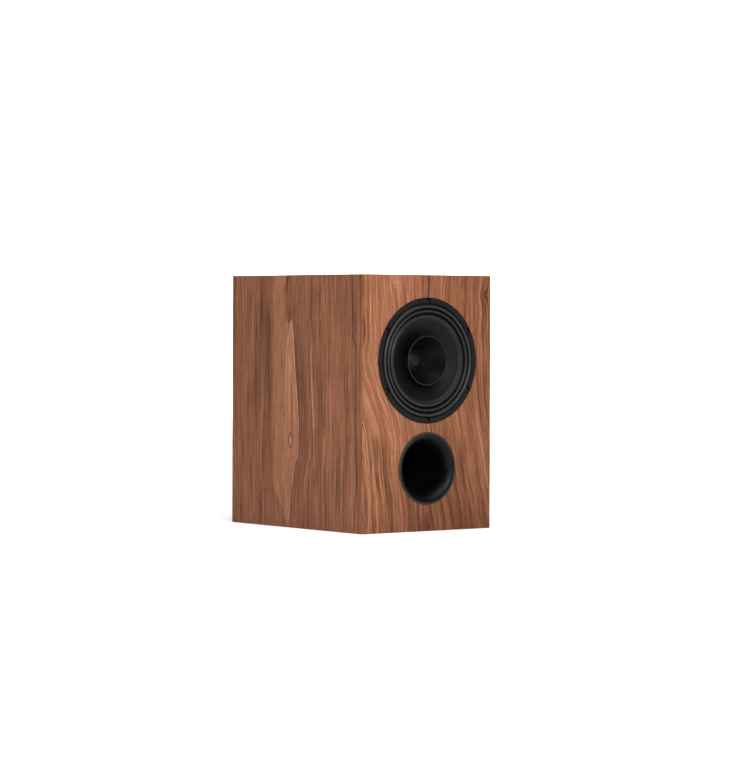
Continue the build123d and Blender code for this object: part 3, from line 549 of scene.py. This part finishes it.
MATERIALS = {
    "walnut_front": walnut("walnut_front", front_grain, 1.0),
    "walnut_side": walnut("walnut_side", side_grain, 5.0),
    "board_core": fibrous("board_core", srgb(118, 92, 66), srgb(150, 120, 90), 500.0),
    "felt": fibrous("felt", srgb(38, 38, 42), srgb(84, 84, 88), 700.0, depth=0.0005, sheen=0.3),
    # The trim ring's own dark colour, with painted shade in black inside 77.2 mm, at the gap by the surround,
    # and round each screw hole.
    "trim_plastic": ringed(
        "trim_plastic", DRIVER, (0.0005, 0.0005, 0.0005, 1.0), (0.0115, 0.0107, 0.0107, 1.0), 77.2,
        0.5, 0.00004, 0.08, screw_hole_shade=(SCREW_COUNT, SCREW_RING_R),
    ),
    "basket_steel": moulded("basket_steel", (0.013, 0.013, 0.014, 1.0), 0.45, 0.8, 0.00005, 0.35),
    "foam": cellular("foam", srgb(52, 52, 54), 0.7),
    "screw_black": metal("screw_black", (0.022, 0.021, 0.021, 1.0), 0.24),
    "plated_steel": metal("plated_steel", (0.55, 0.56, 0.58, 1.0), 0.36, 0.2),
    "tag_board": fibrous("tag_board", srgb(86, 52, 30), srgb(116, 74, 44), 900.0, 0.7, 0.00005),
    "tag_brass": metal("tag_brass", (0.78, 0.60, 0.30, 1.0), 0.34),
    "ferrite": fibrous("ferrite", srgb(44, 44, 46), srgb(62, 62, 64), 1200.0, 0.6, 0.00008),
    # The surround's grooves at 76, 69.5 and 63.3 mm get painted shade, black and without reflection.
    "surround_cloth": woven_round(
        "surround_cloth", (0.005, 0.0048, 0.0046, 1.0), (0.010, 0.0094, 0.0088, 1.0), 0.36, spec=0.42,
        grooves=((76.0, 1.0), (69.5, 1.4), (63.3, 1.9)), dull_mm=59.0,
    ),
    "cone_paper": paper("cone_paper", (0.0028, 0.0026, 0.0032, 1.0), (0.0062, 0.0060, 0.0074, 1.0), 0.5, 0.09),
    # The whizzer's rim past 32.5 mm gets a painted highlight.
    "whizzer_paper": paper(
        "whizzer_paper", (0.0014, 0.0011, 0.0009, 1.0), (0.0036, 0.0030, 0.0025, 1.0), 0.36, 0.10, rim_highlight_mm=32.5
    ),
    # The dust cap's pressed rings at 8, 10 and 12 mm get painted shade, black and without reflection.
    "cap_cloth": woven_round(
        "cap_cloth", (0.0045, 0.0035, 0.0040, 1.0), (0.0100, 0.0080, 0.0090, 1.0), 0.38, spec=0.18,
        grooves=((8.0, 0.45), (10.0, 0.45), (12.0, 0.45)),
    ),
    "former_foil": metal("former_foil", (0.80, 0.80, 0.82, 1.0), 0.3),
    "coil_copper": wound("coil_copper", (0.70, 0.27, 0.12, 1.0), 0.35),
    "spider_cloth": woven_round("spider_cloth", srgb(120, 84, 34), srgb(170, 128, 62), 0.8, 420.0, 0.8),
    "lead_braid": wound("lead_braid", (0.72, 0.70, 0.66, 1.0), 0.6),
    # The port flare, grey on its lip as a painted highlight and black inside 46 mm as painted shade down its
    # throat.
    "port_plastic": ringed(
        "port_plastic", PORT, (0.0008, 0.0008, 0.0008, 1.0), (0.030, 0.030, 0.031, 1.0), 46.0,
        0.45, 0.00003, 0.14,
    ),
    "port_card": fibrous("port_card", srgb(3, 3, 3), srgb(7, 7, 6), 600.0, 0.9, 0.0001, spec=0.03),
    "cup_plastic": moulded("cup_plastic", (0.014, 0.014, 0.0145, 1.0), 0.5, 0.7, 0.00009, 0.3),
    "washer_plastic": moulded("washer_plastic", srgb(196, 190, 176), 0.5),
    "post_brass": metal("post_brass", (0.90, 0.66, 0.30, 1.0), 0.2, 0.3),
    "red_plastic": moulded("red_plastic", (0.36, 0.010, 0.012, 1.0), 0.3, 0.6, 0.00003, 0.45),
    "black_plastic": moulded("black_plastic", (0.014, 0.014, 0.015, 1.0), 0.3, 0.6, 0.00003, 0.45),
    "red_pvc": moulded("red_pvc", (0.42, 0.016, 0.014, 1.0), 0.4, 1.5, 0.00002, 0.4),
    "black_pvc": moulded("black_pvc", (0.016, 0.016, 0.017, 1.0), 0.4, 1.5, 0.00002, 0.4),
}
SPECIAL = {
    "top_panel": walnut("walnut_top", top_grain, 5.0),
    "rear_panel": walnut("walnut_rear", rear_grain, 11.0),
}
SPECIAL["bottom_panel"] = SPECIAL["top_panel"]
SLOTS = {p["node"]: p["material_slot"] for p in frame["record"]["subparts"]}
for name, node in NODES.items():
    node.data.materials.clear()
    node.data.materials.append(SPECIAL.get(name) or MATERIALS[SLOTS[name]])


# ---- driver pieces made here -----------------------------------------------------------------------------
def arc(r0, y0, r1, y1, top_y, steps=20):
    """Points of the circle through two feet and a crest halfway between them, without the last."""
    return circle_through((r0, y0), ((r0 + r1) / 2, top_y), (r1, y1), steps)


def circle_through(a, b, c, steps=20):
    """Points of the arc through three points of (radius, y), without the last."""
    a, b, c = Vector(a), Vector(b), Vector(c)
    ab, bc = b - a, c - b
    turn = ab.x * bc.y - ab.y * bc.x
    m, n = (a + b) / 2, (b + c) / 2
    t = ((n.x - m.x) * bc.x + (n.y - m.y) * bc.y) / (-ab.y * bc.x + ab.x * bc.y)
    centre = Vector((m.x - ab.y * t, m.y + ab.x * t))
    radius = (a - centre).length
    start = math.atan2(a.y - centre.y, a.x - centre.x)
    end = math.atan2(c.y - centre.y, c.x - centre.x)
    sweep = (end - start) % (2 * math.pi)
    if turn < 0:
        sweep -= 2 * math.pi
    angles = [start + sweep * i / steps for i in range(steps)]
    return [(centre.x + radius * math.cos(q), centre.y + radius * math.sin(q)) for q in angles]


def revolved(name, outline, node, segments=240):
    """Closed outline of (radius, y) in mm turned about the driver's axis; it stands for a CAD node."""
    verts = []
    for i in range(segments):
        a = 2 * math.pi * i / segments
        across, up = math.cos(a) * MM, math.sin(a) * MM
        verts += [(DRIVER.x + r * across, y * MM, DRIVER.z + r * up) for r, y in outline]
    count = len(outline)
    faces = []
    for i in range(segments):
        j = (i + 1) % segments
        for k in range(count):
            m = (k + 1) % count
            faces.append((i * count + k, i * count + m, j * count + m, j * count + k))
    mesh = bpy.data.meshes.new(name)
    mesh.from_pydata(verts, [], faces)
    mesh.polygons.foreach_set("use_smooth", [True] * len(faces))
    return stand_in(name, mesh, node)


def stand_in(name, mesh, node):
    """Object with this mesh, cleaned, that replaces a CAD node."""
    work = bmesh.new()
    work.from_mesh(mesh)
    bmesh.ops.recalc_face_normals(work, faces=work.faces)
    work.to_mesh(mesh)
    work.free()
    mesh.materials.append(MATERIALS[SLOTS[node]])
    piece = bpy.data.objects.new(name, mesh)
    bpy.context.scene.collection.objects.link(piece)
    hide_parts(node)
    return piece


def bend(piece, weight):
    """Bakes the piece's place into its mesh and works out weight(place) at each point, 0 for the cabinet and 1
    for the moving assembly.
    """
    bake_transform(piece)
    shares = [weight(v.co) for v in piece.data.vertices]


def smooth_step(value, low, high):
    t = max(0.0, min(1.0, (value - low) / (high - low)))
    return t * t * (3 - 2 * t)


def from_axis(place):
    """Distance from the driver's axis, in mm."""
    return math.hypot(place.x - DRIVER.x, place.z - DRIVER.z) / MM


def thick(front, gap):
    """Closed outline of a sheet from its front line, gap thick towards +Y."""
    return front + [(r, y + gap) for r, y in reversed(front)]


SURROUND_T = 0.55
SPIDER_T = 0.45


def make_surround():
    """Two rolls with deep grooves between them, and the bead on the cone's edge, which goes down to the cone."""
    low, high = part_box("surround")
    rim = (high.x - low.x) / 2 / MM
    y = trim_low.y / MM
    line = [(rim, y + 1.9), (75.7, y + 1.9), (75.5, y + 1.7)]
    line += arc(75.2, y + 0.8, 70.6, y + 0.8, y - 1.7)
    line += [(70.6, y + 0.8), (69.9, y + 2.0), (69.1, y + 2.0)]
    line += arc(68.5, y + 1.2, 64.6, y + 1.2, y - 0.8)
    line += [(64.6, y + 1.2), (63.8, y + 2.6), (62.8, y + 2.7)]
    line += circle_through((62.1, y + 1.7), (59.8, y + 0.4), (57.0, y + 1.8))
    line += [(57.0, y + 1.8), (55.6, y + 3.1), (54.2, y + 4.4)]
    piece = revolved("surround_rolls", thick(line, SURROUND_T), "surround")
    bend(piece, lambda p: 1.0 - smooth_step(from_axis(p), 61.0, 75.0))


def make_spider():
    """Corrugated suspension behind the cone."""
    y = trim_low.y / MM + 33.2
    inner, outer, waves = 16.6, 40.0, 10
    line = [(51.0, y)]
    step = (outer - inner) / waves
    for i in reversed(range(waves)):
        side = 1.1 if i % 2 else -1.1
        line += arc(inner + (i + 1) * step, y, inner + i * step, y, y + side, 8)
    line += [(inner, y), (13.66, y)]
    piece = revolved("spider_corrugated", thick(line, SPIDER_T), "spider", 160)
    bend(piece, lambda p: 1.0 - smooth_step(from_axis(p), inner, outer))


def make_leads():
    """Two braided leads from the cone to the tag strip."""
    low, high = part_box("tinsel_leads")
    middle = (low.x + high.x) / 2
    y0 = trim_low.y
    places = [
        (21.2, 30.0), (24.0, 30.6), (26.6, 34.0), (27.4, 44.0),
        (28.2, 52.0), (29.6, 58.0), (32.0, 58.5), (34.4, 58.5),
    ]
    curve = bpy.data.curves.new("lead_route", "CURVE")
    curve.dimensions = "3D"
    curve.bevel_depth = 0.0006
    curve.bevel_resolution = 4
    for x in (middle - 0.007, middle + 0.007):
        spline = curve.splines.new("NURBS")
        spline.points.add(len(places) - 1)
        for point, (depth, drop) in zip(spline.points, places):
            point.co = (x, y0 + depth * MM, DRIVER.z - drop * MM, 1.0)
        spline.order_u = 3
        spline.use_endpoint_u = True
        spline.resolution_u = 8
    curve.use_fill_caps = True
    route = bpy.data.objects.new("lead_route", curve)
    mesh = bpy.data.meshes.new_from_object(route)
    bpy.data.objects.remove(route)
    mesh.materials.clear()
    mesh.polygons.foreach_set("use_smooth", [True] * len(mesh.polygons))
    piece = stand_in("lead_braids", mesh, "tinsel_leads")
    bend(piece, lambda p: 1.0 - smooth_step((DRIVER.z - p.z) / MM, 34.0, 57.0))


def make_dust_cap():
    """Low dome with pressed rings."""
    low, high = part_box("dust_cap")
    rim = (high.x - low.x) / 2 / MM
    y_top, y_rim = low.y / MM, high.y / MM
    line = []
    steps = 90
    for i in range(steps + 1):
        r = rim * (1 - i / steps)
        dome = y_top + 0.15 + (y_rim - y_top - 0.65) * (r / rim) ** 2
        ripple = 0.2 * math.sin(2 * math.pi * (r - 7.0) / 2.0) if 7.0 < r < 13.0 else 0.0
        line.append((max(r, 0.02), dome + ripple))
    piece = revolved("dust_cap_dome", thick(line, 0.4), "dust_cap", 160)
    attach(piece, "moving_assembly")


def make_screws(name, node, centres, head_y, head_r, dome, shank_r, length, inward):
    """Pan-headed screws along Y with a cross recess, a threaded shank and a point, in mm."""
    verts = []
    faces = []
    turns = 48
    rings = 20
    shank = [(head_r, 0.35), (shank_r + 0.1, 1.0), (shank_r, 1.3)]
    ridges = int((length - 5.0) / 0.9)
    for i in range(ridges):
        shank += [(shank_r * 0.72, 1.8 + i * 0.9), (shank_r, 2.25 + i * 0.9)]
    shank += [(shank_r * 0.6, length - 2.4), (0.05, length)]
    for x, z in centres:
        first = len(verts)
        rows = 0
        for k in range(rings + 1):
            r = head_r * k / rings
            for i in range(turns):
                a = 2 * math.pi * i / turns
                px, pz = r * math.cos(a), r * math.sin(a)
                slot = max(
                    smooth_step(0.34 - abs(px), -0.12, 0.12) * smooth_step(0.56 * head_r - abs(pz), -0.1, 0.2),
                    smooth_step(0.34 - abs(pz), -0.12, 0.12) * smooth_step(0.56 * head_r - abs(px), -0.1, 0.2),
                )
                rise = dome * (1 - (r / head_r) ** 2.6)
                y = head_y - inward * (rise - 1.1 * slot)
                verts.append(((x + px) * MM, y * MM, (z + pz) * MM))
            rows += 1
        for r, deep in shank:
            for i in range(turns):
                a = 2 * math.pi * i / turns
                px, pz = r * math.cos(a), r * math.sin(a)
                verts.append(((x + px) * MM, (head_y + inward * deep) * MM, (z + pz) * MM))
            rows += 1
        for k in range(rows - 1):
            for i in range(turns):
                j = (i + 1) % turns
                a, b = first + k * turns, first + (k + 1) * turns
                faces.append((a + i, a + j, b + j, b + i))
        faces.append(tuple(first + (rows - 1) * turns + i for i in range(turns)))
    mesh = bpy.data.meshes.new(name)
    mesh.from_pydata(verts, [], faces)
    work = bmesh.new()
    work.from_mesh(mesh)
    bmesh.ops.remove_doubles(work, verts=work.verts, dist=1e-6)
    work.to_mesh(mesh)
    work.free()
    mesh.polygons.foreach_set("use_smooth", [True] * len(mesh.polygons))
    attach(stand_in(name, mesh, node), "cabinet")


def ring_places(count, radius, centre):
    """Places on a circle about the driver's axis, the first at the top, in mm."""
    angles = [math.radians(90.0 + i * 360.0 / count) for i in range(count)]
    return [(centre.x / MM + radius * math.cos(a), centre.z / MM + radius * math.sin(a)) for a in angles]


def box_corners(low, high, margin):
    """The four corners of a box seen along Y, moved in by a margin, in mm."""
    xs = (low.x / MM + margin, high.x / MM - margin)
    zs = (low.z / MM + margin, high.z / MM - margin)
    return [(x, z) for x in xs for z in zs]


cup_low, cup_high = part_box("cup_screws")
HEAD_R = 3.1
make_screws(
    "driver_screw_heads", "driver_screws", ring_places(SCREW_COUNT, SCREW_RING_R, DRIVER),
    trim_low.y / MM + 0.7, HEAD_R, 0.9, 1.7, 17.5, 1,
)
make_screws(
    "cup_screw_heads", "cup_screws", box_corners(cup_low, cup_high, 3.2),
    cup_high.y / MM, HEAD_R, 0.5, 1.4, 15.5, -1,
)
make_surround()
make_spider()
make_leads()
make_dust_cap()


# ---- felt ------------------------------------------------------------------------------------------------
FELT_ROUND = 0.003
FELT_MESH = 0.007
FELT_SINK = 0.0007
FELT_WAVE = 0.0005


def make_felt(node, index):
    """Felt pads with soft edges and an uneven face, from a CAD node of blocks."""
    source = NODES[node].data
    work = bmesh.new()
    work.from_mesh(source)
    bmesh.ops.remove_doubles(work, verts=work.verts, dist=1e-6)
    bmesh.ops.dissolve_limit(work, angle_limit=0.02, verts=work.verts, edges=work.edges)
    bmesh.ops.bevel(work, geom=work.edges[:], offset=FELT_ROUND, segments=3, profile=0.5, affect="EDGES")
    bmesh.ops.triangulate(work, faces=work.faces)
    for _ in range(5):
        long = [e for e in work.edges if e.calc_length() > FELT_MESH]
        bmesh.ops.subdivide_edges(work, edges=long, cuts=1)
        bmesh.ops.triangulate(work, faces=work.faces)
    work.normal_update()
    for v in work.verts:
        wave = noise.noise(v.co * 55.0 + Vector((index * 7.0, 0, 0))) + 0.5 * noise.noise(v.co * 190.0)
        v.co -= v.normal * (FELT_SINK + FELT_WAVE * wave)
    mesh = bpy.data.meshes.new(node + "_pad")
    work.to_mesh(mesh)
    work.free()
    mesh.polygons.foreach_set("use_smooth", [True] * len(mesh.polygons))
    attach(stand_in(node + "_pad", mesh, node), "cabinet")


for index, node in enumerate(("lining_left", "lining_right", "lining_top", "lining_rear")):
    make_felt(node, index)


# ---- floor and light -------------------------------------------------------------------------------------
def make_stage():
    """Pale floor that curves up into a backdrop far behind."""
    flat_end = 6.0
    curve_r = 3.0
    steps = 16
    profile = [(-9.0, 0.0), (flat_end, 0.0)]
    for i in range(1, steps + 1):
        a = math.radians(90.0 * i / steps)
        profile.append((flat_end + curve_r * math.sin(a), curve_r * (1 - math.cos(a))))
    profile.append((flat_end + curve_r, 9.0))
    verts = [(x, y, z) for y, z in profile for x in (-12.0, 12.0)]
    faces = [(2 * i, 2 * i + 1, 2 * i + 3, 2 * i + 2) for i in range(len(profile) - 1)]
    mesh = bpy.data.meshes.new("stage")
    mesh.from_pydata(verts, [], faces)
    mesh.polygons.foreach_set("use_smooth", [True] * len(faces))
    stage = bpy.data.objects.new("stage", mesh)
    stage.matrix_world = Matrix.Rotation(CAMERA_AZIMUTH, 4, "Z")
    bpy.context.scene.collection.objects.link(stage)
    s = Shader("stage")
    mesh.materials.append(s.finish(Base_Color=(0.93, 0.93, 0.93, 1.0), Roughness=0.9, Specular_IOR_Level=0.1))


def area_light(name, azimuth, elevation, distance, size, watts, target):
    """Soft square light that points at target."""
    az, el = math.radians(azimuth), math.radians(elevation)
    direction = Vector((math.sin(az) * math.cos(el), -math.cos(az) * math.cos(el), math.sin(el)))
    data = bpy.data.lights.new(name, "AREA")
    data.shape = "RECTANGLE"
    data.size, data.size_y = size
    data.energy = watts
    light = bpy.data.objects.new(name, data)
    light.location = target + direction * distance
    light.rotation_euler = direction.to_track_quat("Z", "Y").to_euler()
    bpy.context.scene.collection.objects.link(light)


def make_lights():
    """Soft key from the upper left in front, an overhead soft light for the floor, and a dim white sky."""
    middle = Vector((0, FRONT_Y, HEIGHT * 0.5))
    area_light("key", -29.0, 26.0, 1.35, (0.5, 0.6), 17.0, middle)
    behind = Matrix.Rotation(CAMERA_AZIMUTH, 4, "Z") @ Vector((0, 8.5, 1.5))
    area_light("backdrop", math.degrees(CAMERA_AZIMUTH), 35.0, 4.0, (8.0, 2.0), 420.0, behind)
    data = bpy.data.lights.new("overhead", "SUN")
    data.energy = 2.7
    data.angle = math.radians(50.0)
    overhead = bpy.data.objects.new("overhead", data)
    overhead.rotation_euler = (math.radians(8.0), 0, CAMERA_AZIMUTH)
    bpy.context.scene.collection.objects.link(overhead)
    world = bpy.data.worlds.new("sky")
    bpy.context.scene.world = world
    world.use_nodes = True
    background = world.node_tree.nodes["Background"]
    background.inputs[0].default_value = (1.0, 1.0, 1.0, 1.0)
    background.inputs[1].default_value = 0.2
    bpy.context.scene.view_settings.view_transform = "Standard"


make_stage()
make_lights()
